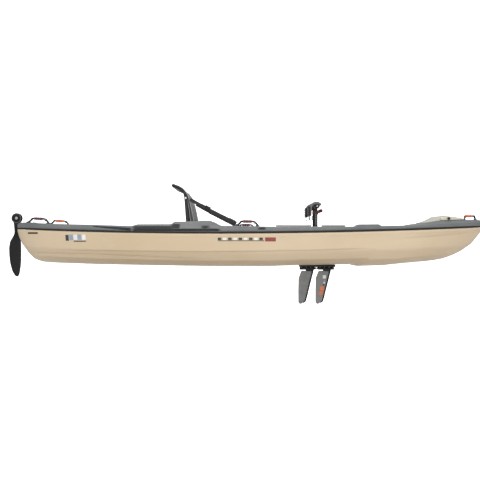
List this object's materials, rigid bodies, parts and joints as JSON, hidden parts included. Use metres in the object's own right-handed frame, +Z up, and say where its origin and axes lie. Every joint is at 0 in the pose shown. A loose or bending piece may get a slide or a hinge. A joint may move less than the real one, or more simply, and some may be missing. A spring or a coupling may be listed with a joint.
{
  "type": "pedal boat",
  "caption": "Sit-on-top pedal boat with flapping under-hull fins, swinging pedals, folding high-back seat, kick-up steering rudder, bow hatch and carry handles.",
  "frame": {"origin": "middle of the flat of the keel, amidships, on the hull's lowest face", "axes": "+X to the bow, +Y to port, +Z up"},
  "size_m": [3.263, 0.868, 0.8078],
  "materials": {
    "hull_plastic": "sand-coloured thermoformed skin, satin, faint orange-peel",
    "deck_plastic": "dark grey thermoformed deck, fine moulded grain",
    "seam_rubber": "black extruded rubber strip",
    "track_metal": "grey coated extrusion",
    "fairing_plastic": "light grey moulding",
    "lid_plastic": "pale olive moulding",
    "black_plastic": "black glass-filled moulding",
    "handle_rubber": "black moulded strap",
    "grip_maroon": "soft dark red moulding",
    "grip_orange": "soft orange moulding",
    "rudder_plastic": "near-black moulding, satin",
    "steel": "stainless, turned",
    "fin_plastic": "mid-grey flexible moulding",
    "frame_metal": "black powder-coated tube",
    "seat_fabric": "grey and black woven fabric with a light piping",
    "webbing": "black woven webbing"
  },
  "bodies": {
    "hull": {"hull_shell": "hull_plastic", "deck_shell": "deck_plastic", "drive_well_liner": "deck_plastic", "seam_trim": "seam_rubber", "hatch_gasket": "seam_rubber", "gear_track_aft_port": "track_metal", "gear_track_aft_starboard": "track_metal", "gear_track_fore_port": "track_metal", "gear_track_fore_starboard": "track_metal", "bow_fairing": "fairing_plastic", "rudder_bracket": "black_plastic", "steering_post": "black_plastic", "drive_base_plate": "black_plastic", "drive_case_port": "black_plastic", "drive_case_starboard": "black_plastic", "strap_buckle_port": "black_plastic", "strap_buckle_starboard": "black_plastic", "strap_anchor_port": "black_plastic", "strap_anchor_starboard": "black_plastic", "handle_strap_side_port": "handle_rubber", "handle_strap_side_starboard": "handle_rubber", "handle_strap_stern_port": "handle_rubber", "handle_strap_stern_starboard": "handle_rubber", "handle_strap_bow": "handle_rubber", "handle_grip_side_starboard": "grip_maroon", "handle_grip_stern_starboard": "grip_maroon", "handle_grip_side_port": "grip_maroon", "handle_grip_stern_port": "grip_orange", "handle_grip_bow": "grip_orange", "rudder_pintle": "steel", "crank_axle": "steel", "fin_shaft": "steel", "drive_chain_front": "steel", "drive_chain_rear": "steel", "seat_base_frame": "frame_metal", "seat_cushion": "seat_fabric", "recline_strap_port": "webbing", "recline_strap_starboard": "webbing", "buckle_cord_starboard": "webbing"},
    "rudder_head": {"rudder_yoke": "rudder_plastic", "rudder_pivot_bolt": "steel"},
    "rudder_foil": {"rudder_blade": "rudder_plastic"},
    "steering_hand": {"steering_lever": "black_plastic"},
    "crank_port": {"crank_drum_port": "steel", "crank_arm_port": "black_plastic"},
    "crank_starboard": {"crank_drum_starboard": "steel", "crank_arm_starboard": "black_plastic"},
    "foot_port": {"pedal_port": "fin_plastic"},
    "foot_starboard": {"pedal_starboard": "fin_plastic"},
    "leg_pin_port": {"arm_adjuster_port": "grip_maroon"},
    "leg_pin_starboard": {"arm_adjuster_starboard": "grip_maroon"},
    "fin_front": {"fin_mast_front": "black_plastic", "fin_blade_front": "fin_plastic"},
    "fin_rear": {"fin_mast_rear": "black_plastic", "fin_blade_rear": "fin_plastic"},
    "bow_hatch": {"bow_hatch_lid": "lid_plastic"},
    "hatch_catch": {"hatch_latch": "black_plastic"},
    "seat_back": {"seat_back_frame": "frame_metal", "seat_back_pad": "seat_fabric"}
  },
  "joints": [
    {"name": "rudder_yaw", "type": "hinge", "parent": "hull", "child": "rudder_head", "pos_m": [-1.5975, 0, 0.265], "axis": [0, 0, 1], "range_deg": [-45, 45]},
    {"name": "rudder_kick_up", "type": "hinge", "parent": "rudder_head", "child": "rudder_foil", "pos_m": [-1.623, 0, 0.3245], "axis": [0, 1, 0], "range_deg": [0, 115]},
    {"name": "steering_turn", "type": "hinge", "parent": "hull", "child": "steering_hand", "pos_m": [0.06, 0.225, 0.19], "axis": [0, 0, 1], "range_deg": [-45, 45]},
    {"name": "pedal_swing_port", "type": "hinge", "parent": "hull", "child": "crank_port", "pos_m": [0.427, 0.04, 0.236], "axis": [0, 1, 0], "range_deg": [-26, 26]},
    {"name": "pedal_swing_starboard", "type": "hinge", "parent": "hull", "child": "crank_starboard", "pos_m": [0.427, -0.04, 0.236], "axis": [0, 1, 0], "range_deg": [-26, 26]},
    {"name": "fin_flap_front", "type": "hinge", "parent": "hull", "child": "fin_front", "pos_m": [0.436, 0, -0.0193], "axis": [1, 0, 0], "range_deg": [-63, 63]},
    {"name": "fin_flap_rear", "type": "hinge", "parent": "hull", "child": "fin_rear", "pos_m": [0.436, 0, -0.0193], "axis": [1, 0, 0], "range_deg": [-63, 63]},
    {"name": "pedal_tilt_port", "type": "hinge", "parent": "crank_port", "child": "foot_port", "pos_m": [0.424, 0.1, 0.4], "axis": [0, 1, 0], "range_deg": [-40, 40]},
    {"name": "pedal_tilt_starboard", "type": "hinge", "parent": "crank_starboard", "child": "foot_starboard", "pos_m": [0.424, -0.1, 0.4], "axis": [0, 1, 0], "range_deg": [-40, 40]},
    {"name": "leg_pin_pull_port", "type": "slide", "parent": "crank_port", "child": "leg_pin_port", "axis": [0.866, 0, 0.5], "range_m": [0, 0.006], "stiffness_N_per_m": 300, "springref_m": -0.003},
    {"name": "leg_pin_pull_starboard", "type": "slide", "parent": "crank_starboard", "child": "leg_pin_starboard", "axis": [0.866, 0, 0.5], "range_m": [0, 0.006], "stiffness_N_per_m": 300, "springref_m": -0.003},
    {"name": "bow_hatch_hinge", "type": "hinge", "parent": "hull", "child": "bow_hatch", "pos_m": [1.418, 0, 0.3165], "axis": [0, 1, 0], "range_deg": [0, 100]},
    {"name": "hatch_catch_turn", "type": "hinge", "parent": "bow_hatch", "child": "hatch_catch", "pos_m": [1.3, -0.1305, 0.3185], "axis": [0, -1, 0], "range_deg": [0, 90]},
    {"name": "seat_fold", "type": "hinge", "parent": "hull", "child": "seat_back", "pos_m": [-0.424, 0, 0.27], "axis": [0, 1, 0], "range_deg": [0, 85]}
  ],
  "couplings": [
    {"joint": "pedal_swing_starboard", "follows": "pedal_swing_port", "ratio": -1},
    {"joint": "fin_flap_front", "follows": "pedal_swing_port", "ratio": 2.4},
    {"joint": "fin_flap_rear", "follows": "pedal_swing_port", "ratio": -2.4},
    {"joint": "steering_turn", "follows": "rudder_yaw", "ratio": -1}
  ]
}
